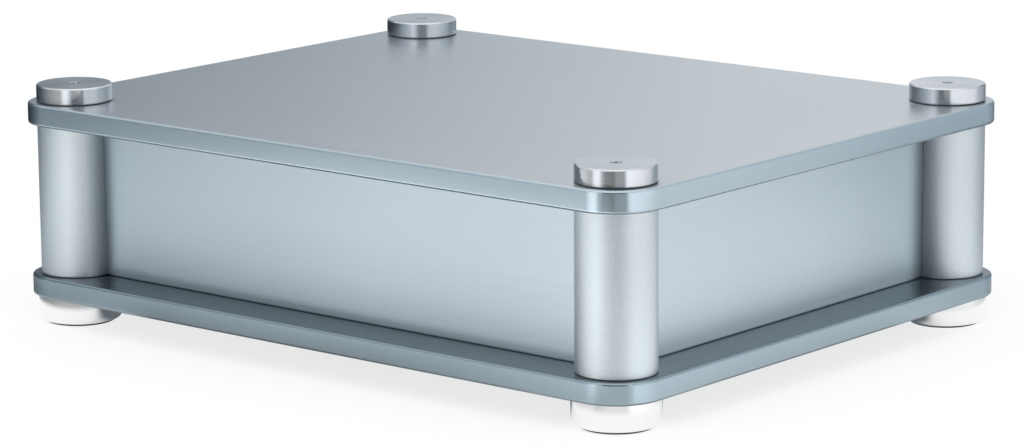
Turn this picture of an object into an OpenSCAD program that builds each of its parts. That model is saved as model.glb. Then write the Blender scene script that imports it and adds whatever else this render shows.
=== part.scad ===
// Amplifier chassis of aluminium. Two thick plates with round corners are held apart by four
// turned pillars. Four panels stand in slots in the pillars and close the bay between the plates.
// A turned cap screws into each pillar from above, and a foot is screwed to it from below.
// The origin is the middle of the footprint, on the surface that the feet stand on.
// +Z is up, +X is right and the front faces -Y. All sizes are in millimetres.

/* [Plates] */
// Width of the top and bottom plates, left to right
plate_width = 310; // [240:1:430]
// Depth of the top and bottom plates, front to back
plate_depth = 246; // [180:1:360]
// Thickness of each plate
plate_thickness = 8.5; // [6:0.5:12]
// Radius of the plates' corners, which are centred on the pillars
corner_radius = 18.5; // [17.5:0.5:26]
// Radius of the rounding along the plates' upper and lower edges
plate_edge_radius = 1.1; // [0.4:0.1:2.5]

/* [Pillars] */
// Diameter of the corner pillars
pillar_diameter = 30; // [26:0.5:34]
// Length of the pillars, which sets the clear height between the plates
pillar_height = 60.5; // [48:0.5:140]
// Chamfer at the pillars' ends
pillar_chamfer = 0.4; // [0.2:0.1:1]

/* [Panels] */
// Thickness of the four panels
panel_thickness = 4; // [2.5:0.5:6]
// Distance from the pillars' axes inwards to a panel's outer face
panel_setback = 0.7; // [0:0.1:2]
// Chamfer along a panel's edges
panel_chamfer = 0.3; // [0.1:0.1:0.6]
// Depth of the slots, from the outside of a pillar towards its axis
slot_depth = 5.5; // [4:0.5:7]
// Play between a panel's faces and the walls of its slots
slot_play = 0.1; // [0.05:0.05:0.3]
// Gap between a panel's end and the floor of its slot
panel_end_gap = 0.2; // [0.1:0.1:0.6]
// Gap between a panel's upper edge and the top plate
panel_top_gap = 0.2; // [0.1:0.1:0.6]

/* [Caps] */
// Diameter of the caps
cap_diameter = 30; // [24:0.5:36]
// Height of a cap above the top plate
cap_height = 6.8; // [5:0.2:12]
// Chamfer around a cap's upper edge
cap_chamfer = 0.5; // [0.2:0.1:1.2]
// Chamfer around a cap's lower edge, which leaves a fine shadow line on the plate
cap_relief = 0.4; // [0.2:0.1:0.8]
// Diameter of the small centre hole in a cap's top
cap_hole_diameter = 4.2; // [2:0.2:8]
// Depth of the centre hole, without the drill's point
cap_hole_depth = 2; // [0.5:0.1:3]
// Length of a cap's thread inside its pillar
cap_engagement = 14; // [10:0.5:16]

/* [Feet] */
// Diameter of the feet
foot_diameter = 33; // [30:0.5:37]
// Height of a foot's metal body
foot_height = 10.4; // [9:0.2:16]
// Radius of the fillet around a foot's lower edge
foot_fillet = 2.2; // [1:0.1:2.5]
// Chamfer around a foot's upper edge
foot_chamfer = 0.3; // [0.1:0.1:0.8]

/* [Foot pads] */
// Outer diameter of the rubber ring in a foot
pad_outer = 27; // [24:0.5:27.5]
// Inner diameter of the rubber ring
pad_inner = 15.5; // [15:0.5:20]
// Thickness of the rubber ring
pad_thickness = 2.5; // [2:0.1:3.5]
// How far the ring stands out below its foot
pad_proud = 0.9; // [0.4:0.1:1.5]
// Edge break around the ring's lower face
pad_chamfer = 0.2; // [0.1:0.1:0.4]
// Play around the ring in its groove
pad_play = 0.1; // [0.05:0.05:0.3]

/* [Fastening] */
// Nominal diameter of the threads on the caps and the foot screws
thread_diameter = 6; // [5:0.5:7]
// Radial play between a thread and its tapped hole
thread_play = 0.1; // [0.05:0.05:0.2]
// Radial play between a thread and a plain hole that it passes through
hole_play = 0.3; // [0.2:0.1:0.6]
// Chamfer at the end of a thread
thread_chamfer = 0.8; // [0.4:0.1:1.2]
// Depth of a tapped hole past the end of the thread in it
tap_spare = 4; // [2:0.5:6]
// Width of the chamfer at the mouth of a tapped hole
tap_lead = 0.6; // [0.3:0.1:1]
// Length of a foot screw below its head
screw_length = 25; // [22:0.5:28]
// Diameter of a foot screw's head
screw_head_diameter = 10; // [8:0.5:11]
// Height of a foot screw's head
screw_head_height = 6; // [4:0.5:6.5]
// Chamfer around a foot screw's head
screw_head_chamfer = 0.6; // [0.3:0.1:1]
// Width across the flats of the socket in a foot screw
screw_socket_width = 5; // [3:0.5:6]
// Depth of the socket in a foot screw
screw_socket_depth = 3; // [2:0.5:3.5]
// Radial play around a screw's head in its counterbore
head_play = 0.5; // [0.3:0.1:0.8]
// Depth of a screw's head inside its foot
head_sink = 0.6; // [0.2:0.1:0.8]

/* [Hidden] */
$fn = 96;
drill_point = 118;  // angle of the cone that a drill leaves, in degrees
cut = 1;            // how far a cutting shape runs past the face that it cuts

// Each corner has a name, its side and end, and the turn that points a pillar's slots inwards
corners = [
    ["front_left", [-1, -1], 0],
    ["front_right", [1, -1], 90],
    ["rear_right", [1, 1], 180],
    ["rear_left", [-1, 1], 270]
];

// Pillar axes, which are the centres of the plates' corners too
pillar_x = plate_width / 2 - corner_radius;
pillar_y = plate_depth / 2 - corner_radius;

// Heights of the faces on which the pieces meet
foot_z = pad_proud;
bottom_plate_z = foot_z + foot_height;
pillar_z = bottom_plate_z + plate_thickness;
top_plate_z = pillar_z + pillar_height;
cap_z = top_plate_z + plate_thickness;

// Panels reach from slot floor to slot floor
slot_floor = pillar_diameter / 2 - slot_depth;
panel_height = pillar_height - panel_top_gap;
front_length = 2 * (pillar_x - slot_floor - panel_end_gap);
side_length = 2 * (pillar_y - slot_floor - panel_end_gap);
front_distance = pillar_y - panel_setback;
side_distance = pillar_x - panel_setback;

// Holes for the caps and the screws
thread_radius = thread_diameter / 2;
tap_radius = thread_radius + thread_play;
hole_radius = thread_radius + hole_play;
counterbore_depth = screw_head_height + head_sink;
screw_seat_z = foot_z + counterbore_depth;
screw_engagement = screw_seat_z + screw_length - pillar_z;

brushed = [0.73, 0.78, 0.81];
milled = [0.62, 0.68, 0.71];
satin = [0.82, 0.85, 0.87];
turned = [0.74, 0.76, 0.79];
polished = [0.93, 0.94, 0.95];
rubber = [0.12, 0.12, 0.13];
zinc = [0.60, 0.61, 0.62];

corner_pieces = ["pillar", "cap", "foot", "foot_pad", "foot_screw"];

// Put a piece on a corner's pillar axis at a height, turned to face into the bay
module at_corner(corner, height = 0) {
    place = corner[1];
    translate([place.x * pillar_x, place.y * pillar_y, height])
        rotate(corner[2])
            children();
}

// Hexagonal socket with a round lead-in, cut downwards from the height of its mouth
module hex_socket(width, depth) {
    across_corners = width / cos(30);
    lead = (across_corners - width) / 2;
    translate([0, 0, -depth])
        cylinder(d = across_corners, h = depth + cut, $fn = 6);
    translate([0, 0, -lead])
        cylinder(d1 = width, d2 = across_corners + 2 * cut, h = lead + cut);
}

// Tapped hole with a chamfered mouth and a drill point, cut upwards from z = 0
module tapped_hole(depth) {
    translate([0, 0, -cut])
        cylinder(r = tap_radius, h = depth + cut);
    translate([0, 0, depth])
        cylinder(r1 = tap_radius, r2 = 0, h = tap_radius / tan(drill_point / 2));
    translate([0, 0, -cut])
        cylinder(r1 = tap_radius + tap_lead + cut, r2 = tap_radius, h = tap_lead + cut);
}

// Section of a plate outwards from the pillar axes, with round edges
module plate_edge() {
    round_x = corner_radius - plate_edge_radius;
    square([round_x, plate_thickness]);
    translate([0, plate_edge_radius])
        square([corner_radius, plate_thickness - 2 * plate_edge_radius]);
    for (y = [plate_edge_radius, plate_thickness - plate_edge_radius])
        translate([round_x, y])
            circle(plate_edge_radius);
}

// Straight stretch of a plate's edge, facing +X
module plate_edge_run(length) {
    rotate([90, 0, 0])
        linear_extrude(length, center = true)
            plate_edge();
}

// Plate with round corners and edges, drilled on each pillar axis
module plate(height) {
    difference() {
        translate([0, 0, height]) {
            translate([-pillar_x, -pillar_y, 0])
                cube([2 * pillar_x, 2 * pillar_y, plate_thickness]);
            for (turn = [0, 180]) {
                rotate(turn)
                    translate([pillar_x, 0, 0])
                        plate_edge_run(2 * pillar_y);
                rotate(turn + 90)
                    translate([pillar_y, 0, 0])
                        plate_edge_run(2 * pillar_x);
            }
            for (corner = corners)
                at_corner(corner)
                    rotate(180)
                        rotate_extrude(angle = 90)
                            plate_edge();
        }
        for (corner = corners)
            at_corner(corner, height - cut)
                cylinder(r = hole_radius, h = plate_thickness + 2 * cut);
    }
}

// Panel with chamfered edges, standing on the bottom plate at a distance from the middle
module panel(length, distance, turn) {
    rotate(turn)
        translate([0, -distance, pillar_z])
            rotate([90, 0, 90])
                linear_extrude(length, center = true)
                    polygon([
                        [panel_chamfer, 0],
                        [panel_thickness - panel_chamfer, 0],
                        [panel_thickness, panel_chamfer],
                        [panel_thickness, panel_height - panel_chamfer],
                        [panel_thickness - panel_chamfer, panel_height],
                        [panel_chamfer, panel_height],
                        [0, panel_height - panel_chamfer],
                        [0, panel_chamfer]
                    ]);
}

module top_plate() {
    color(milled)
        plate(top_plate_z);
}

module bottom_plate() {
    color(milled)
        plate(bottom_plate_z);
}

module front_panel() {
    color(brushed)
        panel(front_length, front_distance, 0);
}

module right_panel() {
    color(brushed)
        panel(side_length, side_distance, 90);
}

module rear_panel() {
    color(brushed)
        panel(front_length, front_distance, 180);
}

module left_panel() {
    color(brushed)
        panel(side_length, side_distance, 270);
}

// One pillar serves all four corners: its two slots face +X and +Y before it is turned
module pillar(corner) {
    radius = pillar_diameter / 2;
    slot_width = panel_thickness + 2 * slot_play;
    color(satin)
        at_corner(corner, pillar_z)
            difference() {
                rotate_extrude()
                    polygon([
                        [0, 0],
                        [radius - pillar_chamfer, 0],
                        [radius, pillar_chamfer],
                        [radius, pillar_height - pillar_chamfer],
                        [radius - pillar_chamfer, pillar_height],
                        [0, pillar_height]
                    ]);
                translate([slot_floor, panel_setback - slot_play, -cut])
                    cube([slot_depth + cut, slot_width, pillar_height + 2 * cut]);
                translate([panel_setback - slot_play, slot_floor, -cut])
                    cube([slot_width, slot_depth + cut, pillar_height + 2 * cut]);
                tapped_hole(screw_engagement + tap_spare);
                translate([0, 0, pillar_height])
                    rotate([180, 0, 0])
                        tapped_hole(cap_engagement + tap_spare);
            }
}

// Turned cap with its thread in one piece, tightened by hand, with the lathe's centre hole in its top
module cap(corner) {
    radius = cap_diameter / 2;
    hole = cap_hole_diameter / 2;
    hole_floor = cap_height - cap_hole_depth;
    thread_length = plate_thickness + cap_engagement;
    color(turned)
        at_corner(corner, cap_z)
            rotate_extrude()
                polygon([
                    [0, -thread_length],
                    [thread_radius - thread_chamfer, -thread_length],
                    [thread_radius, thread_chamfer - thread_length],
                    [thread_radius, 0],
                    [radius - cap_relief, 0],
                    [radius, cap_relief],
                    [radius, cap_height - cap_chamfer],
                    [radius - cap_chamfer, cap_height],
                    [hole, cap_height],
                    [hole, hole_floor],
                    [0, hole_floor - hole / tan(drill_point / 2)]
                ]);
}

// Turned foot with a round lower edge, a counterbore for its screw and a groove for its pad
module foot(corner) {
    radius = foot_diameter / 2;
    groove_depth = pad_thickness - pad_proud;
    color(polished)
        at_corner(corner, foot_z)
            difference() {
                rotate_extrude() {
                    square([radius - foot_fillet, foot_fillet]);
                    intersection() {
                        translate([radius - foot_fillet, foot_fillet])
                            circle(foot_fillet);
                        translate([radius - foot_fillet, 0])
                            square(foot_fillet);
                    }
                    polygon([
                        [0, foot_fillet],
                        [radius, foot_fillet],
                        [radius, foot_height - foot_chamfer],
                        [radius - foot_chamfer, foot_height],
                        [0, foot_height]
                    ]);
                }
                translate([0, 0, -cut])
                    cylinder(r = hole_radius, h = foot_height + 2 * cut);
                translate([0, 0, -cut])
                    cylinder(r = screw_head_diameter / 2 + head_play, h = counterbore_depth + cut);
                translate([0, 0, -cut])
                    difference() {
                        cylinder(r = pad_outer / 2 + pad_play, h = groove_depth + cut);
                        cylinder(r = pad_inner / 2 - pad_play, h = groove_depth + cut);
                    }
            }
}

// Rubber ring that sits in a foot's groove and stands on the surface below
module foot_pad(corner) {
    outer = pad_outer / 2;
    inner = pad_inner / 2;
    color(rubber)
        at_corner(corner)
            rotate_extrude()
                polygon([
                    [inner + pad_chamfer, 0],
                    [outer - pad_chamfer, 0],
                    [outer, pad_chamfer],
                    [outer, pad_thickness],
                    [inner, pad_thickness],
                    [inner, pad_chamfer]
                ]);
}

// Socket-head screw that clamps a foot and the bottom plate to a pillar
module foot_screw(corner) {
    head_radius = screw_head_diameter / 2;
    color(zinc)
        at_corner(corner, screw_seat_z)
            difference() {
                rotate_extrude()
                    polygon([
                        [0, -screw_head_height],
                        [head_radius - screw_head_chamfer, -screw_head_height],
                        [head_radius, screw_head_chamfer - screw_head_height],
                        [head_radius, 0],
                        [thread_radius, 0],
                        [thread_radius, screw_length - thread_chamfer],
                        [thread_radius - thread_chamfer, screw_length],
                        [0, screw_length]
                    ]);
                translate([0, 0, -screw_head_height])
                    rotate([180, 0, 0])
                        hex_socket(screw_socket_width, screw_socket_depth);
            }
}

top_plate();
bottom_plate();
front_panel();
rear_panel();
left_panel();
right_panel();
for (corner = corners) {
    pillar(corner);
    cap(corner);
    foot(corner);
    foot_pad(corner);
    foot_screw(corner);
}
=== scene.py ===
import math

import bmesh
import bpy
from mathutils import Matrix, Vector


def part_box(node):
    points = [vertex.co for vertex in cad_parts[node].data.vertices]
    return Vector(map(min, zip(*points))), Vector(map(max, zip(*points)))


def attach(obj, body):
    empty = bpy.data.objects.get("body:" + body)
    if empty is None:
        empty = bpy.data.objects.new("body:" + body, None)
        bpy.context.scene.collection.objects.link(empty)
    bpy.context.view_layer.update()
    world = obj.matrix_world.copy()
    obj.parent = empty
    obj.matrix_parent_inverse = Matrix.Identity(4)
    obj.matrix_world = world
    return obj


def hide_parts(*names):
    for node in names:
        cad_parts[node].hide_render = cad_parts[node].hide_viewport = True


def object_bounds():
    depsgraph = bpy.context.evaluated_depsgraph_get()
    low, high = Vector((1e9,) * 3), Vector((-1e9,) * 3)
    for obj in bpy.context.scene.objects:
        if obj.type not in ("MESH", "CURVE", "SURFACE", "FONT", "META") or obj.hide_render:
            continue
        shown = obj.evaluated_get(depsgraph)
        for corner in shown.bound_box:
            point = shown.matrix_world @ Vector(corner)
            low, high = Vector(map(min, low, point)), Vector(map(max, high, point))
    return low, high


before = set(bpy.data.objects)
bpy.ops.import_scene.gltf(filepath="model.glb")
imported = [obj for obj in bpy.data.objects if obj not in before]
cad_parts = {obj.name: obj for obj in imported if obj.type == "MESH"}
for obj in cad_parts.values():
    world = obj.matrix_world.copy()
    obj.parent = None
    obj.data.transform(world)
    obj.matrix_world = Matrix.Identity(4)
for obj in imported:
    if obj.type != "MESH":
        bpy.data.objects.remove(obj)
cadLow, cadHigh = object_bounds()
print("frame loaded with", len(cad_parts), "nodes")

mm = 0.001
body = "root"
scene = bpy.context.scene
scene.view_settings.view_transform = "Standard"

# each corner and the turn that points its pillar's slots into the bay
cornerTurns = {"front_left": 0, "front_right": 90, "rear_right": 180, "rear_left": 270}
pillarLow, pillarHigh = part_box("pillar_rear_right")
cornerX = (pillarLow.x + pillarHigh.x) / 2  # the pillar axes, where everything turned is centred
cornerY = (pillarLow.y + pillarHigh.y) / 2
cornerAxis = (cornerX, cornerY, 0)


# small helpers for node trees
def put(tree, kind, inputs=None, **settings):
    node = tree.nodes.new(kind)
    for key, value in settings.items():
        setattr(node, key, value)
    for key, value in (inputs or {}).items():
        if isinstance(value, bpy.types.NodeSocket):
            tree.links.new(value, node.inputs[key])
        else:
            node.inputs[key].default_value = value
    return node


def calc(tree, operation, first, second=0.0):
    return put(tree, "ShaderNodeMath", {0: first, 1: second}, operation=operation).outputs[0]


def vectorCalc(tree, operation, first, second=(0, 0, 0)):
    return put(tree, "ShaderNodeVectorMath", {0: first, 1: second}, operation=operation).outputs[0]


def vectorLength(tree, vector):
    return put(tree, "ShaderNodeVectorMath", {0: vector}, operation="LENGTH").outputs[1]


def scaledBy(tree, vector, share):
    return put(tree, "ShaderNodeVectorMath", {0: vector, 3: share}, operation="SCALE").outputs[0]


def combine(tree, x=0.0, y=0.0, z=0.0):
    return put(tree, "ShaderNodeCombineXYZ", {0: x, 1: y, 2: z}).outputs[0]


def separate(tree, vector):
    return put(tree, "ShaderNodeSeparateXYZ", {0: vector}).outputs


def flattened(tree, vector):
    return combine(tree, *separate(tree, vector)[:2])


def remap(tree, value, low, high, newLow=0.0, newHigh=1.0, kind="LINEAR"):
    return put(tree, "ShaderNodeMapRange", {
        0: value, 1: low, 2: high, 3: newLow, 4: newHigh}, interpolation_type=kind).outputs[0]


def slope(tree, value, start, end):
    return remap(tree, value, start, end, kind="SMOOTHSTEP")


def noise(tree, place, detail, scale=1.0):
    return put(tree, "ShaderNodeTexNoise", {"Vector": place, "Scale": scale, "Detail": detail}).outputs[0]


def blendColors(tree, share, first, second):
    return put(tree, "ShaderNodeMix", {0: share, 6: first, 7: second}, data_type="RGBA").outputs[2]


def startTree(name, kind, inputs, outputs):
    tree = bpy.data.node_groups.new(name, kind)
    for label, socket in inputs.items():
        tree.interface.new_socket(label, in_out="INPUT", socket_type="NodeSocket" + socket)
    for label, socket in outputs.items():
        tree.interface.new_socket(label, in_out="OUTPUT", socket_type="NodeSocket" + socket)
    return tree, put(tree, "NodeGroupInput").outputs


# shader groups that several finishes share; noise stays near its middle, so its ends are pulled apart
noiseEnds = {"brushed": (0.36, 0.64), "turned": (0.34, 0.66), "uneven": (0.3, 0.7)}
brushedMix = {"fineShare": 0.6, "broadShare": 0.4, "broadScale": 0.22}
grainScale = 0.8  # the grains that sparkle are a little larger than the pits


def brushedLinesGroup():
    tree, given = startTree(
        "brushed lines", "ShaderNodeTree", {"Vector": "Vector", "Line Size": "Vector"}, {"Lines": "Float"})
    drawn = vectorCalc(tree, "DIVIDE", given["Vector"], given["Line Size"])
    fine = calc(tree, "MULTIPLY", noise(tree, drawn, detail=1.0), brushedMix["fineShare"])
    broad = noise(tree, drawn, detail=2.0, scale=brushedMix["broadScale"])
    both = calc(tree, "ADD", fine, calc(tree, "MULTIPLY", broad, brushedMix["broadShare"]))
    put(tree, "NodeGroupOutput", {"Lines": remap(tree, both, *noiseEnds["brushed"])})
    return tree


def cornerAxisGroup():
    # folds the four corners onto one, so a pattern is centred on every pillar axis
    tree, given = startTree(
        "corner axis", "ShaderNodeTree", {"Vector": "Vector", "Axis": "Vector"}, {"Vector": "Vector"})
    folded = vectorCalc(tree, "ABSOLUTE", given["Vector"])
    put(tree, "NodeGroupOutput", {"Vector": vectorCalc(tree, "SUBTRACT", folded, given["Axis"])})
    return tree


def turningLinesGroup():
    tree, given = startTree(
        "turning lines", "ShaderNodeTree", {"Vector": "Vector", "Line Width": "Float"}, {"Lines": "Float"})
    x, y, z = separate(tree, given["Vector"])
    across = calc(tree, "DIVIDE", vectorLength(tree, combine(tree, x, y)), given["Line Width"])
    upright = calc(tree, "DIVIDE", z, given["Line Width"])
    grooves = noise(tree, combine(tree, across, upright), detail=2.0)
    put(tree, "NodeGroupOutput", {"Lines": remap(tree, grooves, *noiseEnds["turned"])})
    return tree


def blastedSkinGroup():
    tree, given = startTree(
        "blasted skin", "ShaderNodeTree",
        {"Vector": "Vector", "Pit Size": "Float"}, {"Pits": "Float", "Sparkle": "Float"})
    place = scaledBy(tree, given["Vector"], calc(tree, "DIVIDE", 1.0, given["Pit Size"]))
    grains = put(tree, "ShaderNodeTexVoronoi", {"Vector": place, "Scale": grainScale})
    tone = put(tree, "ShaderNodeSeparateColor", {0: grains.outputs["Color"]})
    put(tree, "NodeGroupOutput", {"Pits": noise(tree, place, detail=2.0), "Sparkle": tone.outputs[0]})
    return tree


def unevenToneGroup():
    # slow drift of tone that anodising and handling leave on any of the metal pieces
    tree, given = startTree(
        "uneven tone", "ShaderNodeTree", {"Vector": "Vector", "Patch Size": "Float"}, {"Tone": "Float"})
    place = scaledBy(tree, given["Vector"], calc(tree, "DIVIDE", 1.0, given["Patch Size"]))
    drift = noise(tree, place, detail=3.0)
    put(tree, "NodeGroupOutput", {"Tone": remap(tree, drift, *noiseEnds["uneven"])})
    return tree


def jointShadeGroup():
    # painted shade that fades out away from the nearer of the two lines where the panels enter a pillar
    tree, given = startTree(
        "joint shade", "ShaderNodeTree",
        {"Vector": "Vector", "Along": "Float", "Across": "Float", "Reach": "Float"}, {"Open": "Float"})
    flat = flattened(tree, given["Vector"])
    lines = [combine(tree, given[x], given[y]) for x, y in (("Along", "Across"), ("Across", "Along"))]
    apart = [vectorLength(tree, vectorCalc(tree, "SUBTRACT", flat, line)) for line in lines]
    put(tree, "NodeGroupOutput", {"Open": slope(tree, calc(tree, "MINIMUM", *apart), 0.0, given["Reach"])})
    return tree


def heightShadeGroup():
    # painted shade that fades out above and below a joint at a given height
    tree, given = startTree(
        "height shade", "ShaderNodeTree",
        {"Vector": "Vector", "Joint Height": "Float", "Reach": "Float"}, {"Open": "Float"})
    height = separate(tree, given["Vector"])[2]
    apart = calc(tree, "ABSOLUTE", calc(tree, "SUBTRACT", height, given["Joint Height"]))
    put(tree, "NodeGroupOutput", {"Open": slope(tree, apart, 0.0, given["Reach"])})
    return tree


groups = {
    "brushed": brushedLinesGroup(),
    "axis": cornerAxisGroup(),
    "turned": turningLinesGroup(),
    "blasted": blastedSkinGroup(),
    "uneven": unevenToneGroup(),
    "joint": jointShadeGroup(),
    "height": heightShadeGroup(),
}


def useGroup(tree, name, inputs):
    return put(tree, "ShaderNodeGroup", inputs, node_tree=groups[name]).outputs


def startMaterial(name):
    material = bpy.data.materials.new(name)
    material.use_nodes = True
    return material, material.node_tree


def objectPlace(tree):
    return put(tree, "ShaderNodeTexCoord").outputs["Object"]


def shadesOf(tree, color, share, swing):
    dark, light = (Vector(color) * factor for factor in (1 - swing, 1 + swing))
    return blendColors(tree, share, (*dark, 1), (*light, 1))


def roughenSurface(tree, shader, look, pattern):
    low, high = look["roughness"] - look["roughSpread"], look["roughness"] + look["roughSpread"]
    tree.links.new(remap(tree, pattern, 0.0, 1.0, low, high), shader.inputs["Roughness"])
    bump = put(tree, "ShaderNodeBump", {
        "Strength": look["bump"], "Distance": look["bumpDepth"] * mm, "Height": pattern})
    tree.links.new(bump.outputs[0], shader.inputs["Normal"])


# one finish of a metal piece: colour, roughness and bump follow a pattern and a slow drift of tone, and the
# colour may carry painted shade near joints
def metalFinish(name, look, pattern, tangentAxis, shading=None):
    material, tree = startMaterial(name)
    shader = tree.nodes["Principled BSDF"]
    place = objectPlace(tree)
    lines = pattern(tree, place)
    tone = useGroup(tree, "uneven", {"Vector": place, "Patch Size": look["patch"] * mm})["Tone"]
    lineShare = calc(tree, "MULTIPLY", lines, look["contrast"])
    level = calc(tree, "ADD", lineShare, calc(tree, "MULTIPLY", tone, look["drift"]))
    swing = look["contrast"] + look["drift"]
    base = shadesOf(tree, look["color"], calc(tree, "DIVIDE", level, swing), swing / 2)
    if shading:
        # painted shade: the colour darkens towards a joint or crease, to the look's tone share right at it
        base = scaledBy(tree, base, remap(tree, shading(tree, place), 0.0, 1.0, look["paintedShadeTone"], 1.0))
    tree.links.new(base, shader.inputs["Base Color"])
    roughenSurface(tree, shader, look, lines)
    shader.inputs["Metallic"].default_value = 1.0
    shader.inputs["Anisotropic"].default_value = look["anisotropy"]
    shader.inputs["Anisotropic Rotation"].default_value = look.get("anisotropyTurn", 0.0)
    if tangentAxis:
        tangent = put(tree, "ShaderNodeTangent", direction_type="RADIAL", axis=tangentAxis)
        tree.links.new(tangent.outputs[0], shader.inputs["Tangent"])
    return material


def rubberFinish(name, look):
    material, tree = startMaterial(name)
    shader = tree.nodes["Principled BSDF"]
    pits = useGroup(tree, "blasted", {"Vector": objectPlace(tree), "Pit Size": look["pitSize"] * mm})["Pits"]
    tree.links.new(shadesOf(tree, look["color"], pits, look["contrast"]), shader.inputs["Base Color"])
    roughenSurface(tree, shader, look, pits)
    return material


def brushedPattern(look, grain):
    # the lines run along X or Y, or along both and so round the sides of a plate
    sizes = [look["lineLength" if axis in grain else "lineWidth"] * mm for axis in "XYZ"]

    def pattern(tree, place):
        return useGroup(tree, "brushed", {"Vector": place, "Line Size": sizes})["Lines"]
    return pattern


def turnedPattern(look):
    def pattern(tree, place):
        centred = useGroup(tree, "axis", {"Vector": place, "Axis": cornerAxis})["Vector"]
        return useGroup(tree, "turned", {"Vector": centred, "Line Width": look["lineWidth"] * mm})["Lines"]
    return pattern


def blastedPattern(look):
    # the mean of the pits and the sparkle
    def pattern(tree, place):
        skin = useGroup(tree, "blasted", {"Vector": place, "Pit Size": look["pitSize"] * mm})
        return calc(tree, "MULTIPLY", calc(tree, "ADD", skin["Pits"], skin["Sparkle"]), 0.5)
    return pattern


def jointShading(look):
    def shading(tree, place):
        centred = useGroup(tree, "axis", {"Vector": place, "Axis": cornerAxis})["Vector"]
        return useGroup(tree, "joint", {
            "Vector": centred, "Along": -look["jointAlong"] * mm, "Across": -look["jointAcross"] * mm,
            "Reach": look["paintedShadeReach"] * mm})["Open"]
    return shading


def heightShading(look, height):
    def shading(tree, place):
        return useGroup(tree, "height", {
            "Vector": place, "Joint Height": height, "Reach": look["paintedShadeReach"] * mm})["Open"]
    return shading


# the finishes, with lengths in millimetres
panelLook = {
    "color": (0.68, 0.77, 0.83), "roughness": 0.38, "roughSpread": 0.03, "anisotropy": 0.8,
    "paintedShadeTone": 0.30, "paintedShadeReach": 1.0,
    "lineLength": 60, "lineWidth": 0.18, "contrast": 0.05, "drift": 0.02, "patch": 70,
    "bump": 0.12, "bumpDepth": 0.008,
}
plateLook = {
    "color": (0.62, 0.67, 0.71), "roughness": 0.30, "roughSpread": 0.03, "anisotropy": 0.6,
    "lineLength": 45, "lineWidth": 0.2, "contrast": 0.04, "drift": 0.02, "patch": 90,
    "bump": 0.1, "bumpDepth": 0.006,
}
# painted shade: the bottom plate's level faces get the plate finish darkened to about a third
shadedLedgeLook = {**plateLook, "color": (0.205, 0.244, 0.273), "roughness": 0.26}
plateEdgeLook = {
    "color": (0.54, 0.65, 0.715), "roughness": 0.23, "roughSpread": 0.006, "anisotropy": 0.8,
    "anisotropyTurn": 0.25, "paintedShadeTone": 0.18, "paintedShadeReach": 1.2,
    "lineLength": 60, "lineWidth": 0.4, "contrast": 0.012, "drift": 0.02, "patch": 50,
    "bump": 0.004, "bumpDepth": 0.002,
}
# painted shade: the bottom plate's edge is the edge finish darkened to about seven tenths
shadedLowerEdgeLook = {**plateEdgeLook, "color": (0.367, 0.458, 0.512)}
pillarLook = {
    "color": (0.675, 0.742, 0.775), "roughness": 0.50, "roughSpread": 0.06, "anisotropy": 0.0,
    "paintedShadeTone": 0.36, "paintedShadeReach": 9, "jointAlong": 14.9, "jointAcross": 0.6,
    "pitSize": 0.45, "contrast": 0.15, "drift": 0.02, "patch": 40,
    "bump": 0.5, "bumpDepth": 0.03,
}
capLook = {
    "color": (0.66, 0.70, 0.735), "roughness": 0.21, "roughSpread": 0.015, "anisotropy": 0.8,
    "anisotropyTurn": 0.25, "paintedShadeTone": 0.15, "paintedShadeReach": 1.1,
    "lineWidth": 0.16, "contrast": 0.04, "drift": 0.02, "patch": 25,
    "bump": 0.05, "bumpDepth": 0.005,
}
footLook = {
    "color": (0.92, 0.93, 0.94), "roughness": 0.10, "roughSpread": 0.03, "anisotropy": 0.3,
    "anisotropyTurn": 0.25,
    "lineWidth": 0.12, "contrast": 0.03, "drift": 0.02, "patch": 25,
    "bump": 0.06, "bumpDepth": 0.004,
}
screwLook = {
    "color": (0.56, 0.57, 0.58), "roughness": 0.28, "roughSpread": 0.05, "anisotropy": 0.0,
    "pitSize": 0.5, "contrast": 0.10, "drift": 0.06, "patch": 6,
    "bump": 0.1, "bumpDepth": 0.01,
}
padLook = {
    "color": (0.06, 0.06, 0.064), "roughness": 0.62, "roughSpread": 0.08,
    "pitSize": 0.4, "contrast": 0.2,
    "bump": 0.3, "bumpDepth": 0.03,
}

topLow, topHigh = (corner.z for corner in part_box("top_plate"))
bottomLow, bottomHigh = (corner.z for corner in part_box("bottom_plate"))
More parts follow.
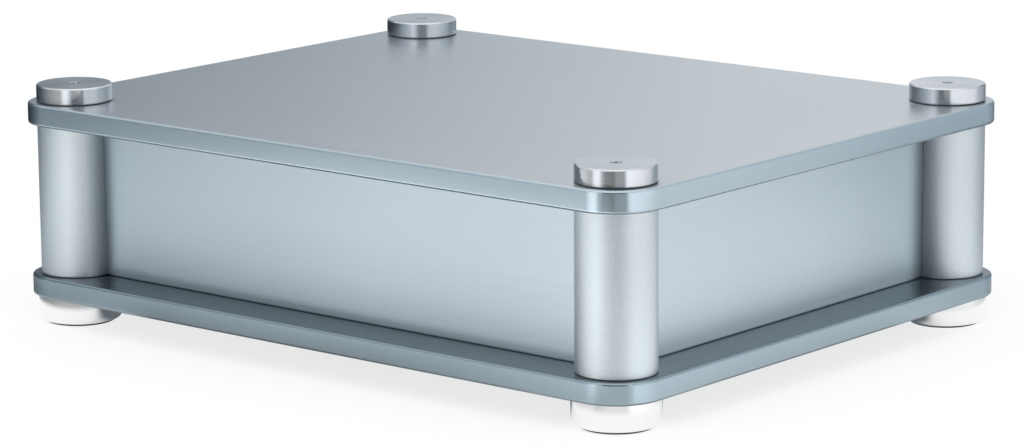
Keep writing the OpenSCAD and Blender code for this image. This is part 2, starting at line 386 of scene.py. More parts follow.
# painted shade: a dark line along the foot of each panel where it stands on the bottom plate
panelFootShade = heightShading(panelLook, bottomHigh)
finishes = {
    "panelAcross": metalFinish(
        "brushed panel front", panelLook, brushedPattern(panelLook, "X"), "X", panelFootShade),
    "panelDeep": metalFinish(
        "brushed panel side", panelLook, brushedPattern(panelLook, "Y"), "Y", panelFootShade),
    "plateFace": metalFinish("brushed plate", plateLook, brushedPattern(plateLook, "X"), "X"),
    "ledge": metalFinish("brushed ledge in painted shade", shadedLedgeLook, brushedPattern(shadedLedgeLook, "X"), "X"),
    # painted shade along the lower rounded edge of the top plate
    "plateEdge": metalFinish(
        "milled plate edge", plateEdgeLook, brushedPattern(plateEdgeLook, "XY"), "Z",
        heightShading(plateEdgeLook, topLow)),
    # painted shade along the lower rounded edge of the bottom plate, on top of the darkened colour
    "lowerEdge": metalFinish(
        "milled lower edge in painted shade", shadedLowerEdgeLook, brushedPattern(shadedLowerEdgeLook, "XY"), "Z",
        heightShading(shadedLowerEdgeLook, bottomLow)),
    # painted shade in the creases where the panels enter each pillar
    "pillar": metalFinish(
        "blasted pillar", pillarLook, blastedPattern(pillarLook), None, jointShading(pillarLook)),
    # painted shade round the foot of each cap, where it sits on the top plate
    "cap": metalFinish("turned cap", capLook, turnedPattern(capLook), "Z", heightShading(capLook, topHigh)),
    "foot": metalFinish("polished foot", footLook, turnedPattern(footLook), "Z"),
    "screw": metalFinish("zinc screw", screwLook, blastedPattern(screwLook), None),
    "pad": rubberFinish("rubber ring", padLook),
}
print("finishes made:", len(finishes))


def newPiece(name, mesh):
    piece = bpy.data.objects.new(name, mesh)
    scene.collection.objects.link(piece)
    return piece


# sections are short lists of (radius, height, edge radius) in millimetres, which the trees round and sweep
def sectionPiece(name, points, closed):
    mesh = bpy.data.meshes.new(name)
    count = len(points)
    edges = [(i, (i + 1) % count) for i in range(count if closed else count - 1)]
    mesh.from_pydata([(radius * mm, height * mm, 0) for radius, height, edge in points], edges, [])
    rounding = mesh.attributes.new("edgeRadius", "FLOAT", "POINT")
    rounding.data.foreach_set("value", [edge * mm for radius, height, edge in points])
    return newPiece(name, mesh)


sweepRadius = 1 * mm  # the ring that a turned section is swept along
weldDistance = 0.015 * mm  # a swept rim leans 0.011 mm where an arc meets a straight side
crispAngle = math.radians(38)
levelFacing = 0.99  # upward share of a normal from which a plate's face counts as level
cutSpare = 1 * mm  # how far a cutter stands out of what it cuts
hexSides = 6


def sweptSection(tree, given, path, shift, fillCaps):
    # the sweep reads a section sideways and upside down, so it is shifted and flipped first
    outline = put(tree, "GeometryNodeMeshToCurve", {"Mesh": given["Section"]})
    rounding = put(tree, "GeometryNodeInputNamedAttribute", {"Name": "edgeRadius"}, data_type="FLOAT")
    rounded = put(tree, "GeometryNodeFilletCurve", {
        "Curve": outline.outputs[0], "Count": given["Edge Steps"], "Radius": rounding.outputs[0],
        "Limit Radius": True}, mode="POLY")
    ready = put(tree, "GeometryNodeTransform", {
        "Geometry": rounded.outputs[0], "Translation": (shift, 0, 0), "Scale": (1, -1, 1)})
    swept = put(tree, "GeometryNodeCurveToMesh", {
        "Curve": path, "Profile Curve": ready.outputs[0], "Fill Caps": fillCaps})
    return welded(tree, swept.outputs[0])


def welded(tree, solid):
    return put(tree, "GeometryNodeMergeByDistance", {"Geometry": solid, "Distance": weldDistance}).outputs[0]


def turnedSolid(tree, given):
    ring = put(tree, "GeometryNodeCurvePrimitiveCircle", {
        "Resolution": given["Facets"], "Radius": sweepRadius}, mode="RADIUS")
    return sweptSection(tree, given, ring.outputs[0], -sweepRadius, False)


def cutAway(tree, solid, cutter):
    cut = put(tree, "GeometryNodeMeshBoolean", {"Mesh 1": solid}, operation="DIFFERENCE", solver="EXACT")
    tree.links.new(cutter, cut.inputs["Mesh 2"])
    return cut.outputs[0]


def moved(tree, solid, place):
    return put(tree, "GeometryNodeTransform", {"Geometry": solid, "Translation": place}).outputs[0]


def joined(tree, parts):
    node = put(tree, "GeometryNodeJoinGeometry")
    for part in parts:
        tree.links.new(part, node.inputs[0])
    return node.outputs[0]


def compared(tree, operation, first, second):
    node = put(tree, "FunctionNodeCompare", {0: first, 1: second}, data_type="FLOAT", operation=operation)
    return node.outputs[0]


def placedSolid(tree, given, solid):
    # smooth shading with crisp edges, then the piece goes to its place
    smooth = put(tree, "GeometryNodeSetShadeSmooth", {"Geometry": solid, "Shade Smooth": True}, domain="FACE")
    bend = put(tree, "GeometryNodeInputMeshEdgeAngle").outputs[0]
    shaded = put(tree, "GeometryNodeSetShadeSmooth", {
        "Geometry": smooth.outputs[0], "Selection": compared(tree, "GREATER_THAN", bend, crispAngle),
        "Shade Smooth": False}, domain="EDGE")
    placed = put(tree, "GeometryNodeTransform", {
        "Geometry": shaded.outputs[0], "Translation": given["Place"],
        "Rotation": combine(tree, z=given["Turn"])})
    return put(tree, "GeometryNodeRealizeInstances", {"Geometry": placed.outputs[0]}).outputs[0]


def endTree(tree, given, solid):
    dressed = put(tree, "GeometryNodeSetMaterial", {
        "Geometry": placedSolid(tree, given, solid), "Material": given["Material"]})
    put(tree, "NodeGroupOutput", {"Geometry": dressed.outputs[0]})
    return tree


placeInputs = {"Place": "Vector", "Turn": "Float", "Material": "Material"}
sweepInputs = {"Section": "Geometry", "Edge Steps": "Int"}
turnedInputs = {**sweepInputs, "Facets": "Int", **placeInputs}
threadInputs = {
    "Thread Radius": "Float", "Thread Pitch": "Float", "Thread Depth": "Float", "Thread Start": "Float",
    "Thread End": "Float"}
socketInputs = {
    "Socket Corner": "Float", "Socket Flat": "Float", "Socket Depth": "Float", "Socket Mouth": "Float"}
slotInputs = {"Slot Width": "Float", "Slot Middle": "Float", "Slot Floor": "Float", "Slot Height": "Float"}
plateInputs = {
    "Width": "Float", "Depth": "Float", "Thickness": "Float", "Corner Radius": "Float",
    "Corner Steps": "Int", "Edge Radius": "Float", "Hole Radius": "Float", "Hole Facets": "Int",
    "Holes Across": "Float", "Holes Deep": "Float"}


def startSolid(name, inputs):
    return startTree(name, "GeometryNodeTree", inputs, {"Geometry": "Geometry"})


def turnedTree():
    tree, given = startSolid("turned piece", turnedInputs)
    return endTree(tree, given, turnedSolid(tree, given))


# the thread on caps and foot screws; crest and root are shares of the pitch from a crest's middle
thread = {
    "radius": 3.0, "pitch": 1.0, "depth": 0.61, "rowsPerPitch": 8, "tip": 0.8,
    "crestEnd": 1 / 16, "rootStart": 3 / 8, "shankMiss": 0.02,
}


def threadRows(start, end):
    count = round((end - start) / thread["pitch"] * thread["rowsPerPitch"])
    return [(thread["radius"], start + (end - start) * i / count, 0) for i in range(count + 1)]


def threadValues(start, end):
    return {
        "Thread Radius": thread["radius"] * mm, "Thread Pitch": thread["pitch"] * mm,
        "Thread Depth": thread["depth"] * mm, "Thread Start": start * mm, "Thread End": end * mm}


def woundThread(tree, given, solid):
    # pulls the shank in along a helix: flat crests, straight flanks and flat roots
    x, y, z = separate(tree, put(tree, "GeometryNodeInputPosition").outputs[0])
    flat = combine(tree, x, y)
    radius = vectorLength(tree, flat)
    pitch, start, end = given["Thread Pitch"], given["Thread Start"], given["Thread End"]
    angle = calc(tree, "DIVIDE", calc(tree, "ARCTAN2", y, x), 2 * math.pi)
    turns = calc(tree, "SUBTRACT", calc(tree, "DIVIDE", z, pitch), angle)
    wave = calc(tree, "PINGPONG", turns, 0.5)
    groove = remap(tree, wave, thread["crestEnd"], thread["rootStart"])
    fadeIn = remap(tree, z, start, calc(tree, "ADD", start, pitch))
    fadeOut = remap(tree, z, end, calc(tree, "SUBTRACT", end, pitch))
    depth = calc(tree, "MULTIPLY", calc(tree, "MULTIPLY", fadeIn, fadeOut), given["Thread Depth"])
    inward = calc(tree, "DIVIDE", calc(tree, "MULTIPLY", groove, depth), calc(tree, "MULTIPLY", radius, -1.0))
    miss = calc(tree, "ABSOLUTE", calc(tree, "SUBTRACT", radius, given["Thread Radius"]))
    onShank = compared(tree, "LESS_THAN", miss, thread["shankMiss"] * mm)
    return put(tree, "GeometryNodeSetPosition", {
        "Geometry": solid, "Selection": onShank, "Offset": scaledBy(tree, flat, inward)}).outputs[0]


def threadedTree():
    tree, given = startSolid("threaded piece", {**turnedInputs, **threadInputs})
    return endTree(tree, given, woundThread(tree, given, turnedSolid(tree, given)))


def screwTree():
    # a hexagonal socket with a round lead-in opens downwards in the screw's head
    tree, given = startSolid("socket screw", {**turnedInputs, **threadInputs, **socketInputs})
    corner, flat = given["Socket Corner"], given["Socket Flat"]
    below = combine(tree, z=calc(tree, "SUBTRACT", given["Socket Mouth"], cutSpare))
    socket = put(tree, "GeometryNodeMeshCone", {
        "Vertices": hexSides, "Radius Top": corner, "Radius Bottom": corner,
        "Depth": calc(tree, "ADD", given["Socket Depth"], cutSpare)})
    lead = put(tree, "GeometryNodeMeshCone", {
        "Vertices": given["Facets"], "Radius Top": flat, "Radius Bottom": calc(tree, "ADD", corner, cutSpare),
        "Depth": calc(tree, "ADD", calc(tree, "SUBTRACT", corner, flat), cutSpare)})
    solid = turnedSolid(tree, given)
    for cutter in (socket, lead):
        solid = cutAway(tree, solid, moved(tree, cutter.outputs[0], below))
    return endTree(tree, given, woundThread(tree, given, solid))


def slottedTree():
    tree, given = startSolid("slotted pillar", {**turnedInputs, **slotInputs})
    # a cutter is as long as its middle is far from the axis, so it starts at the slot's floor
    reach = calc(tree, "MULTIPLY", given["Slot Floor"], 2.0)
    halfHeight = calc(tree, "MULTIPLY", given["Slot Height"], 0.5)
    tall = calc(tree, "ADD", given["Slot Height"], 2 * cutSpare)
    solid = turnedSolid(tree, given)
    for length, width in (("x", "y"), ("y", "x")):
        size = combine(tree, z=tall, **{length: reach, width: given["Slot Width"]})
        place = combine(tree, z=halfHeight, **{length: reach, width: given["Slot Middle"]})
        cutter = put(tree, "GeometryNodeMeshCube", {"Size": size})
        solid = cutAway(tree, solid, moved(tree, cutter.outputs[0], place))
    return endTree(tree, given, solid)


def panelTree():
    tree, given = startSolid("panel", {**sweepInputs, "Length": "Float", **placeInputs})
    half = calc(tree, "MULTIPLY", given["Length"], 0.5)
    start = combine(tree, calc(tree, "MULTIPLY", half, -1.0))
    line = put(tree, "GeometryNodeCurvePrimitiveLine", {"Start": start, "End": combine(tree, half)})
    return endTree(tree, given, sweptSection(tree, given, line.outputs[0], 0.0, True))


def plateTree():
    # a rounded section runs round the outline, and two drilled sheets close it above and below
    tree, given = startSolid("drilled plate", {
        **sweepInputs, **plateInputs, **placeInputs, "Edge Material": "Material"})

    def outline(inset):
        twice = calc(tree, "MULTIPLY", inset, 2.0)
        square = put(tree, "GeometryNodeCurvePrimitiveQuadrilateral", {
            "Width": calc(tree, "SUBTRACT", given["Width"], twice),
            "Height": calc(tree, "SUBTRACT", given["Depth"], twice)})
        return put(tree, "GeometryNodeFilletCurve", {
            "Curve": square.outputs[0], "Count": given["Corner Steps"],
            "Radius": calc(tree, "SUBTRACT", given["Corner Radius"], inset)}, mode="POLY").outputs[0]

    rim = sweptSection(tree, given, outline(0.0), 0.0, False)
    grid = put(tree, "GeometryNodeMeshGrid", {
        "Size X": given["Holes Across"], "Size Y": given["Holes Deep"], "Vertices X": 2, "Vertices Y": 2})
    circle = put(tree, "GeometryNodeMeshCircle", {
        "Vertices": given["Hole Facets"], "Radius": given["Hole Radius"]}, fill_type="NONE")
    drilled = put(tree, "GeometryNodeInstanceOnPoints", {
        "Points": grid.outputs["Mesh"], "Instance": circle.outputs[0]})
    holes = put(tree, "GeometryNodeRealizeInstances", {"Geometry": drilled.outputs[0]}).outputs[0]
    holeCurves = put(tree, "GeometryNodeMeshToCurve", {"Mesh": holes}).outputs[0]
    edges = joined(tree, (outline(given["Edge Radius"]), holeCurves))
    sheet = put(tree, "GeometryNodeFillCurve", {"Curve": edges}).outputs[0]
    upward = combine(tree, z=given["Thickness"])
    walls = put(tree, "GeometryNodeExtrudeMesh", {"Mesh": holes, "Offset": upward}, mode="EDGES")
    shell = joined(tree, (rim, sheet, moved(tree, sheet, upward), walls.outputs["Mesh"]))
    edged = put(tree, "GeometryNodeSetMaterial", {
        "Geometry": placedSolid(tree, given, welded(tree, shell)), "Material": given["Edge Material"]})
    facing = separate(tree, put(tree, "GeometryNodeInputNormal").outputs[0])[2]
    level = compared(tree, "GREATER_THAN", calc(tree, "ABSOLUTE", facing), levelFacing)
    dressed = put(tree, "GeometryNodeSetMaterial", {
        "Geometry": edged.outputs[0], "Selection": level, "Material": given["Material"]})
    put(tree, "NodeGroupOutput", {"Geometry": dressed.outputs[0]})
    return tree


def applyModifiers(piece):
    graph = bpy.context.evaluated_depsgraph_get()
    made = bpy.data.meshes.new_from_object(piece.evaluated_get(graph), depsgraph=graph)
    made.name = piece.name
    piece.modifiers.clear()
    piece.data = made


def buildPiece(piece, tree, values):
    modifier = piece.modifiers.new("make", "NODES")
    modifier.node_group = tree
    for item in tree.interface.items_tree:
        if item.in_out == "INPUT" and item.name in values:
            modifier[item.identifier] = values[item.name]
    applyModifiers(piece)
    shell = bmesh.new()
    shell.from_mesh(piece.data)
    bmesh.ops.remove_doubles(shell, verts=shell.verts, dist=weldDistance)
    bmesh.ops.recalc_face_normals(shell, faces=shell.faces)
    shell.to_mesh(piece.data)
    shell.free()
    weighted = piece.modifiers.new("weighted normals", "WEIGHTED_NORMAL")
    weighted.keep_sharp = True
    applyModifiers(piece)


def pieceName(node):
    first, *others = node.split("_")
    return first + "".join(word.capitalize() for word in others)


# builds a piece from its section and puts it in the place of its CAD node
def makePiece(node, section, closed, tree, values):
    piece = sectionPiece(pieceName(node), section, closed)
    buildPiece(piece, tree, values)
    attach(piece, body)
    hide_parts(node)


def nodeSize(node):
    # half width and height of a turned node in millimetres, and the height that it starts at
    low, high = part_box(node)
    return (high.y - low.y) / 2 / mm, (high.z - low.z) / mm, low.z


def cornerValues(shape, corner, height, finish):
    sideX = 1 if corner.endswith("right") else -1
    sideY = 1 if corner.startswith("rear") else -1
    return {
        "Edge Steps": shape["edgeSteps"], "Facets": shape["facets"],
        "Place": (sideX * cornerX, sideY * cornerY, height), "Turn": math.radians(cornerTurns[corner]),
        "Material": finishes[finish]}


# plates, each with the finish of its faces and of its edge; the bottom plate's finishes are darkened copies
# that carry painted shade
plate = {"edge": 1.1, "corner": 18.5, "holeRadius": 3.3, "edgeSteps": 6, "cornerSteps": 40, "holeFacets": 64}
plateFinishes = {"top_plate": ("plateFace", "plateEdge"), "bottom_plate": ("ledge", "lowerEdge")}
tree = plateTree()
for node, (faceFinish, edgeFinish) in plateFinishes.items():
    low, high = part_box(node)
    wide, deep, thick = high - low
    edge, tall = plate["edge"], thick / mm
    section = [(-edge, 0, 0), (0, 0, edge), (0, tall, edge), (-edge, tall, 0)]
    makePiece(node, section, False, tree, {
        "Edge Steps": plate["edgeSteps"], "Width": wide, "Depth": deep, "Thickness": thick,
        "Corner Radius": plate["corner"] * mm, "Corner Steps": plate["cornerSteps"], "Edge Radius": edge * mm,
        "Hole Radius": plate["holeRadius"] * mm, "Hole Facets": plate["holeFacets"],
        "Holes Across": 2 * cornerX, "Holes Deep": 2 * cornerY, "Place": (0, 0, low.z), "Turn": 0.0,
        "Material": finishes[faceFinish], "Edge Material": finishes[edgeFinish]})
print("plates rounded and drilled")

# panels, each with the turn that takes a front panel to its place
panel = {"edge": 0.3, "edgeSteps": 3}
panelTurns = {"front": 0, "right": 90, "rear": 180, "left": 270}
tree = panelTree()
for side, turn in panelTurns.items():
    node = side + "_panel"
    low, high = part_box(node)
    wide, deep, tall = high - low
    height, back, edge = tall / mm, -min(wide, deep) / mm, panel["edge"]
    section = [(back, 0, edge), (0, 0, edge), (0, height, edge), (back, height, edge)]
    outside = {"front": (0, low.y), "right": (high.x, 0), "rear": (0, high.y), "left": (low.x, 0)}[side]
    makePiece(node, section, True, tree, {
        "Edge Steps": panel["edgeSteps"], "Length": max(wide, deep), "Place": (*outside, low.z),
        "Turn": math.radians(turn),
        "Material": finishes["panelAcross" if side in ("front", "rear") else "panelDeep"]})
print("panels made")

# pillars
pillar = {
    "edge": 0.4, "edgeBreak": 0.15, "tapRadius": 3.1, "tapLead": 0.6, "capTapDepth": 18.0,
    "screwTapDepth": 16.7, "drillPoint": 1.86, "slotWidth": 4.2, "slotMiddle": 2.7, "slotFloor": 9.5,
    "facets": 128, "edgeSteps": 3,
}
tree = slottedTree()
for corner in cornerTurns:
    node = "pillar_" + corner
    radius, tall, base = nodeSize(node)
    edge, soft = pillar["edge"], pillar["edgeBreak"]
    tap, lead, point = pillar["tapRadius"], pillar["tapLead"], pillar["drillPoint"]
    screwTap, capTap = pillar["screwTapDepth"], tall - pillar["capTapDepth"]
    section = [
        (0, screwTap + point, 0), (tap, screwTap, 0), (tap, lead, 0), (tap + lead, 0, 0),
        (radius - edge, 0, soft), (radius, edge, soft),
        (radius, tall - edge, soft), (radius - edge, tall, soft),
        (tap + lead, tall, 0), (tap, tall - lead, 0), (tap, capTap, 0), (0, capTap - point, 0),
    ]
    makePiece(node, section, False, tree, {
        **cornerValues(pillar, corner, base, "pillar"),
        "Slot Width": pillar["slotWidth"] * mm, "Slot Middle": pillar["slotMiddle"] * mm,
        "Slot Floor": pillar["slotFloor"] * mm, "Slot Height": tall * mm})
print("pillars turned and slotted")

# caps, each in one piece with its thread
cap = {
    "head": 6.8, "edge": 0.5, "relief": 0.4, "edgeBreak": 0.2, "fineBreak": 0.1,
    "holeRadius": 2.1, "holeDepth": 2.0, "holePoint": 1.26, "facets": 96, "edgeSteps": 3,
}
tree = threadedTree()
for corner in cornerTurns:
    node = "cap_" + corner
    radius, tall, base = nodeSize(node)
    head, edge, relief = cap["head"], cap["edge"], cap["relief"]
    soft, fine = cap["edgeBreak"], cap["fineBreak"]
    hole, holeFloor = cap["holeRadius"], head - cap["holeDepth"]
    tip = head - tall
    shank = (tip + thread["tip"], 0)
    section = [
        (0, tip, 0), (thread["radius"] - thread["tip"], tip, 0), *threadRows(*shank),
        (radius - relief, 0, fine), (radius, relief, fine),
        (radius, head - edge, soft), (radius - edge, head, soft),
        (hole, head, fine), (hole, holeFloor, 0), (0, holeFloor - cap["holePoint"], 0),
    ]
    makePiece(node, section, False, tree, {
        **cornerValues(cap, corner, base - tip * mm, "cap"), **threadValues(*shank)})
print("caps turned and threaded")

# feet with their rubber rings
foot = {
    "round": 2.2, "edge": 0.3, "edgeBreak": 0.1, "holeRadius": 3.3, "headHole": 5.5, "headDepth": 6.6,
    "grooveInner": 7.65, "grooveOuter": 13.6, "grooveDepth": 1.6, "facets": 128, "edgeSteps": 8,
}
pad = {"inner": 7.75, "edge": 0.2, "topEdge": 0.05, "facets": 96, "edgeSteps": 3}
tree = turnedTree()
for corner in cornerTurns:
    node = "foot_" + corner
    radius, tall, base = nodeSize(node)
    soft, hole = foot["edgeBreak"], foot["holeRadius"]
    headHole, headDepth = foot["headHole"], foot["headDepth"]
    inner, outer, groove = foot["grooveInner"], foot["grooveOuter"], foot["grooveDepth"]
    section = [
        (headHole, 0, soft), (inner, 0, soft), (inner, groove, 0), (outer, groove, 0), (outer, 0, soft),
        (radius, 0, foot["round"]), (radius, tall, foot["edge"]),
        (hole, tall, 0), (hole, headDepth, 0), (headHole, headDepth, 0),
    ]
    makePiece(node, section, True, tree, cornerValues(foot, corner, base, "foot"))

    node = "foot_pad_" + corner
    radius, tall, base = nodeSize(node)
    inner, edge, topEdge = pad["inner"], pad["edge"], pad["topEdge"]
    section = [(inner, 0, edge), (radius, 0, edge), (radius, tall, topEdge), (inner, tall, topEdge)]
    makePiece(node, section, True, tree, cornerValues(pad, corner, base, "pad"))
print("feet and rubber rings turned")

# foot screws
screw = {
    "headHeight": 6.0, "headEdge": 0.6, "edgeBreak": 0.2, "socketWidth": 5.0, "socketDepth": 3.0,
    "facets": 96, "edgeSteps": 3,
}
tree = screwTree()
for corner in cornerTurns:
    node = "foot_screw_" + corner
    radius, tall, base = nodeSize(node)
    head, edge, soft = -screw["headHeight"], screw["headEdge"], screw["edgeBreak"]
    tip = tall + head
    shank = (0, tip - thread["tip"])
    section = [
        (0, head, 0), (radius - edge, head, soft), (radius, head + edge, soft), (radius, 0, soft),
        *threadRows(*shank), (thread["radius"] - thread["tip"], tip, 0), (0, tip, 0),
    ]
    flat = screw["socketWidth"] / 2
    makePiece(node, section, False, tree, {
        **cornerValues(screw, corner, base - head * mm, "screw"), **threadValues(*shank),
        "Socket Corner": flat / math.cos(math.pi / hexSides) * mm, "Socket Flat": flat * mm,
        "Socket Depth": screw["socketDepth"] * mm, "Socket Mouth": head * mm})
print("foot screws made")

# studio: a pale floor, cards round the object that only reflections see, a soft lamp and an even sky
studio = {
    "floorRadius": 6.0, "floorSteps": 96, "floorColor": 0.25, "floorGlow": 0.78,
    "dishInner": 0.01, "dishRadius": 0.62, "dishCurve": 0.12, "dishHeight": 0.50, "dishLift": 0.0005,
    "dishSteps": 128, "curveSteps": 8, "topFade": 0.20, "wallFoot": 0.04, "wallFull": 0.10, "brightest": 2.5,
    "overheadRadius": 0.8, "overheadSteps": 64, "overheadFade": 0.35, "overheadHeight": 0.95, "overhead": 1.2,
    "sky": 0.82,
    "lampSize": 1.6, "lampPower": 9.0, "lampPlace": (0.5, -0.9, 1.7),
}
# brightness of the cards by bearing, where 0 faces the front and 90 the right side:
# flat on the floor, and of the wall above
floorCards = [
    (-180, 0.30), (-120, 0.15), (-93, 0.12), (-72, 0.28), (-60, 0.50), (-43, 0.88), (-31, 1.04), (-20, 1.12),
    (-5, 1.04), (8, 1.15), (20, 1.38), (30, 1.80), (36, 1.50), (50, 1.60), (62, 1.50), (72, 1.28), (85, 1.14),
    (104, 1.05), (122, 1.04), (130, 0.84), (138, 0.56), (152, 0.45), (170, 0.20), (180, 0.30),
]
wallCards = [
    (-180, 0.50), (-170, 0.64), (-160, 0.82), (-151, 0.80), (-146, 0.72), (-140, 0.64), (-129, 0.46),
    (-118, 0.33), (-105, 0.14), (-80, 0.12), (-60, 0.22), (-45, 0.38), (-30, 0.54), (-18, 0.72), (-8, 0.98),
    (4, 1.08), (12, 0.80), (22, 0.54), (40, 0.50), (54, 0.58), (62, 0.94), (98, 1.00), (108, 0.92),
    (125, 0.68), (132, 0.64), (138, 0.62), (146, 0.58), (152, 0.48), (168, 0.28), (180, 0.50),
]
cardTint = (0.80, 0.97, 1.10)  # what dim cards look like beside white ones
# how bright the floor cards are at a distance from the plates, in front of the object and to its right; the
# dim stretch nearest the plates is painted shadow of the object
floorReach = {
    "front": [
        (0.0, 0.36), (0.03, 0.38), (0.07, 0.48), (0.095, 2.10), (0.14, 2.02), (0.20, 1.32),
        (0.26, 0.58), (0.30, 0.28), (0.34, 0.24), (0.42, 0.30)],
    "right": [
        (0.0, 0.50), (0.03, 0.80), (0.06, 1.18), (0.10, 1.12), (0.16, 0.60), (0.25, 0.46),
        (0.29, 0.50), (0.325, 1.00), (0.42, 1.25)],
}
# painted shadow of the object on the cards: a strip that widens from near the front right corner towards the
# camera, darkest far out where the camera stands
shadowStrip = {
    "bearing": 40, "half": 0.135, "spread": 0.13, "soft": 0.03,
    "tip": (0.168, 0.022), "opening": 40, "tipSoft": 0.012,
    "nearShare": 0.60, "nearEnd": 0.20, "farShare": 0.04, "farStart": 0.50,
}
# a small white card that draws the left of two bright bands round the front right corner
spot = {"place": (0.02, -0.53), "radius": 0.06, "fade": 0.08, "level": 1.35}
# the shade under the bottom plate, and the clear floor round the feet
shade = {"inset": 0.015, "soft": 0.008, "level": 0.15, "footClear": 0.042, "footFade": 0.012}


def discPiece(name, radius, steps):
    shell = bmesh.new()
    bmesh.ops.create_circle(shell, cap_ends=True, radius=radius, segments=steps)
    mesh = bpy.data.meshes.new(name)
    shell.to_mesh(mesh)
    shell.free()
    return newPiece(name, mesh)


def dishPiece(name):
    # lies flat on the floor, curves up and ends as an upright wall
    outer, curve, lift = studio["dishRadius"], studio["dishCurve"], studio["dishLift"]
    steps, curveSteps = studio["dishSteps"], studio["curveSteps"]
    profile = [(studio["dishInner"], lift)]
    for i in range(curveSteps + 1):
        angle = math.pi / 2 * i / curveSteps
        profile.append((outer - curve + curve * math.sin(angle), lift + curve - curve * math.cos(angle)))
    profile.append((outer, studio["dishHeight"]))
    corners, faces, rows = [], [], len(profile)
    for i in range(steps):
        angle = 2 * math.pi * i / steps
        cosine, sine = math.cos(angle), math.sin(angle)
        corners += [(radius * cosine, radius * sine, height) for radius, height in profile]
        for j in range(rows - 1):
            near, far = i * rows + j, (i + 1) % steps * rows + j
            faces.append((near, far, far + 1, near + 1))
    mesh = bpy.data.meshes.new(name)
    mesh.from_pydata(corners, [], faces)
    return newPiece(name, mesh)


def floorFinish():
    material, tree = startMaterial("pale floor")
    shader = tree.nodes["Principled BSDF"]
    shader.inputs["Base Color"].default_value = (studio["floorColor"],) * 3 + (1,)
    shader.inputs["Roughness"].default_value = 1.0
    shader.inputs["Specular IOR Level"].default_value = 0.0
    shader.inputs["Emission Color"].default_value = (1, 1, 1, 1)
    path = put(tree, "ShaderNodeLightPath").outputs
    seen = calc(tree, "MAXIMUM", path["Is Camera Ray"], path["Is Glossy Ray"])
    seen = calc(tree, "MAXIMUM", seen, path["Is Transmission Ray"])
    tree.links.new(calc(tree, "MULTIPLY", seen, studio["floorGlow"]), shader.inputs["Emission Strength"])
    return material


def cardColor(level):
    white = min(level, 1.0)
    return (*[level / studio["brightest"] * (white + (1 - white) * tint) for tint in cardTint], 1)


def cardLevels(tree, bearing, cards):
    share = calc(tree, "ADD", calc(tree, "DIVIDE", bearing, 2 * math.pi), 0.5)
    ramp = put(tree, "ShaderNodeValToRGB", {0: share})
    stops = ramp.color_ramp.elements
    while len(stops) < len(cards):
        stops.new(0.5)
    for stop, (degrees, level) in zip(stops, cards):
        stop.position = degrees / 360 + 0.5
        stop.color = cardColor(level)
    return ramp.outputs[0]


def reachCurve(tree, value, stops):
    node = put(tree, "ShaderNodeFloatCurve", {1: value})
    points = node.mapping.curves[0].points
    while len(points) < len(stops):
        points.new(0.5, 0.5)
    for point, stop in zip(points, stops):
        point.location = stop
        point.handle_type = "VECTOR"
    node.mapping.extend = "HORIZONTAL"
    node.mapping.update()
    return node.outputs[0]


def alongBearing(tree, flat, bearing):
    turn = math.radians(bearing)
    return put(tree, "ShaderNodeVectorMath", {
        0: flat, 1: (math.sin(turn), -math.cos(turn), 0)}, operation="DOT_PRODUCT").outputs[1]


def startCard(name):
    material, tree = startMaterial(name)
    tree.nodes.clear()
    return material, tree, objectPlace(tree)


def endCard(tree, color, strength, clearShare):
    glow = put(tree, "ShaderNodeEmission", {"Color": color, "Strength": strength})
    clear = put(tree, "ShaderNodeBsdfTransparent")
    mixed = put(tree, "ShaderNodeMixShader", {0: clearShare, 1: glow.outputs[0], 2: clear.outputs[0]})
    put(tree, "ShaderNodeOutputMaterial", {"Surface": mixed.outputs[0]})


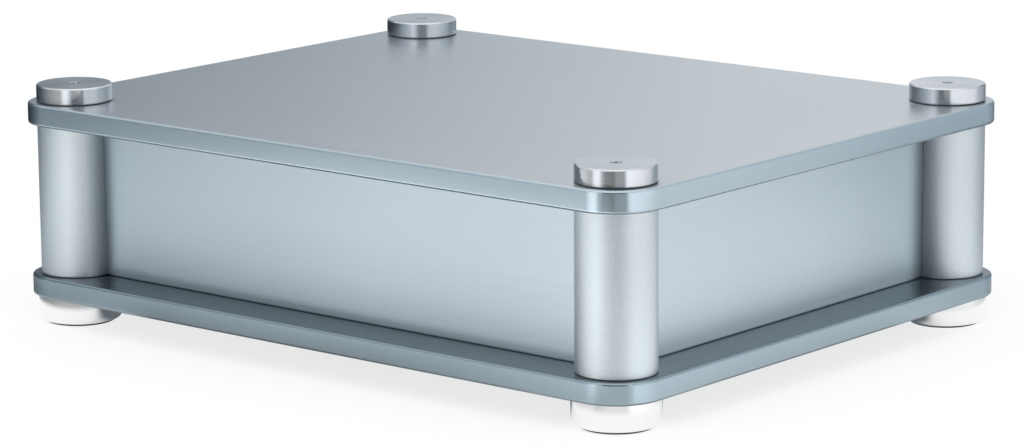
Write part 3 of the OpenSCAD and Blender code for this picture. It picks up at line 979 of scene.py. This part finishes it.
def cardFinish():
    material, tree, place = startCard("studio cards")
    x, y, z = separate(tree, place)
    flat = combine(tree, x, y)
    bearing = calc(tree, "ARCTAN2", x, calc(tree, "MULTIPLY", y, -1.0))
    quarter = vectorCalc(tree, "ABSOLUTE", flat)
    past = vectorCalc(tree, "SUBTRACT", quarter, (cadHigh.x, cadHigh.y, 0))
    away = vectorLength(tree, vectorCalc(tree, "MAXIMUM", past))
    towards, aside = (alongBearing(tree, flat, shadowStrip["bearing"] + turn) for turn in (0, 90))
    onRight = slope(tree, aside, -shadowStrip["soft"], shadowStrip["soft"])
    inFront, toRight = (reachCurve(tree, away, floorReach[side]) for side in ("front", "right"))
    reach = put(tree, "ShaderNodeMix", {0: onRight, 2: inFront, 3: toRight}).outputs[0]
    low = scaledBy(tree, cardLevels(tree, bearing, floorCards), reach)
    rise = slope(tree, z, studio["wallFoot"], studio["wallFull"])
    bright = blendColors(tree, rise, low, cardLevels(tree, bearing, wallCards))

    # the painted shadow strip lies along the bearing of the camera
    half = calc(tree, "ADD", calc(tree, "MULTIPLY", towards, shadowStrip["spread"]), shadowStrip["half"])
    between = calc(tree, "SUBTRACT", calc(tree, "ABSOLUTE", aside), half)
    inside = slope(tree, between, shadowStrip["soft"], -shadowStrip["soft"])
    beyond, beside = (calc(tree, "SUBTRACT", *pair) for pair in zip((towards, aside), shadowStrip["tip"]))
    wedge = calc(tree, "MULTIPLY", beyond, math.tan(math.radians(shadowStrip["opening"])))
    between = calc(tree, "SUBTRACT", calc(tree, "ABSOLUTE", beside), wedge)
    opened = slope(tree, between, shadowStrip["tipSoft"], -shadowStrip["tipSoft"])
    inShadowStrip = calc(tree, "MULTIPLY", inside, opened)
    share = remap(tree, away, shadowStrip["nearEnd"], shadowStrip["farStart"], shadowStrip["nearShare"], shadowStrip["farShare"])
    color = blendColors(tree, inShadowStrip, bright, scaledBy(tree, bright, share))
    apart = vectorLength(tree, vectorCalc(tree, "SUBTRACT", flat, (*spot["place"], 0)))
    inSpot = slope(tree, apart, spot["radius"] + spot["fade"], spot["radius"])
    color = blendColors(tree, inSpot, color, cardColor(spot["level"]))

    # dark under the plates, clear round the feet and at the top
    edge = calc(tree, "MAXIMUM", *separate(tree, past)[:2])
    under = slope(tree, edge, -shade["inset"] + shade["soft"], -shade["inset"] - shade["soft"])
    color = blendColors(tree, under, color, cardColor(shade["level"]))
    fromFoot = vectorLength(tree, vectorCalc(tree, "SUBTRACT", quarter, cornerAxis))
    byFoot = slope(tree, fromFoot, shade["footClear"] + shade["footFade"], shade["footClear"])
    byFoot = calc(tree, "MULTIPLY", byFoot, calc(tree, "SUBTRACT", 1.0, under))
    upper = slope(tree, z, studio["dishHeight"] - studio["topFade"], studio["dishHeight"])
    endCard(tree, color, studio["brightest"], calc(tree, "MAXIMUM", byFoot, upper))
    return material


def overheadFinish():
    material, tree, place = startCard("overhead card")
    radius, fade = studio["overheadRadius"], studio["overheadFade"]
    rim = slope(tree, vectorLength(tree, flattened(tree, place)), radius - fade, radius)
    endCard(tree, (1, 1, 1, 1), studio["overhead"], rim)
    return material


def onlyReflected(piece):
    for ray in ("camera", "diffuse", "shadow", "transmission", "volume_scatter"):
        setattr(piece, "visible_" + ray, False)


floor = discPiece("floor", studio["floorRadius"], studio["floorSteps"])
floor.data.materials.append(floorFinish())
cards = dishPiece("studioCards")
cards.data.materials.append(cardFinish())
onlyReflected(cards)
overhead = discPiece("overheadCard", studio["overheadRadius"], studio["overheadSteps"])
overhead.data.transform(Matrix.Translation((0, 0, studio["overheadHeight"])))
overhead.data.materials.append(overheadFinish())
onlyReflected(overhead)

world = bpy.data.worlds.new("studio sky")
world.use_nodes = True
world.node_tree.nodes["Background"].inputs["Color"].default_value = (studio["sky"],) * 3 + (1,)
scene.world = world

lampData = bpy.data.lights.new("softLamp", "AREA")
lampData.shape = "DISK"
lampData.size = studio["lampSize"]
lampData.energy = studio["lampPower"]
lamp = bpy.data.objects.new("softLamp", lampData)
lamp.location = studio["lampPlace"]
lamp.rotation_euler = (-Vector(studio["lampPlace"])).to_track_quat("-Z", "Y").to_euler()
lamp.visible_glossy = False
scene.collection.objects.link(lamp)
print("studio set")

# camera at the photograph's viewing angle, with angles in degrees and lengths in millimetres
view = {
    "bearing": 39.91, "height": 11.74, "roll": -0.451, "distance": 1578.53, "target": (1.88, -0.90, 39.18),
    "lens": 140.22, "sensor": 36.0,
}
bearing, height, roll = (math.radians(view[key]) for key in ("bearing", "height", "roll"))
back = Vector((math.sin(bearing) * math.cos(height), -math.cos(bearing) * math.cos(height), math.sin(height)))
right = (-back).cross(Vector((0, 0, 1))).normalized()
up = right.cross(-back)
right, up = right * math.cos(roll) + up * math.sin(roll), up * math.cos(roll) - right * math.sin(roll)
cameraData = bpy.data.cameras.new("camera")
cameraData.lens = view["lens"]
cameraData.sensor_width = view["sensor"]
camera = bpy.data.objects.new("camera", cameraData)
aim = Matrix((right, up, back)).transposed().to_4x4()
camera.matrix_world = Matrix.Translation((Vector(view["target"]) + back * view["distance"]) * mm) @ aim
scene.collection.objects.link(camera)
scene.camera = camera
print("camera set")
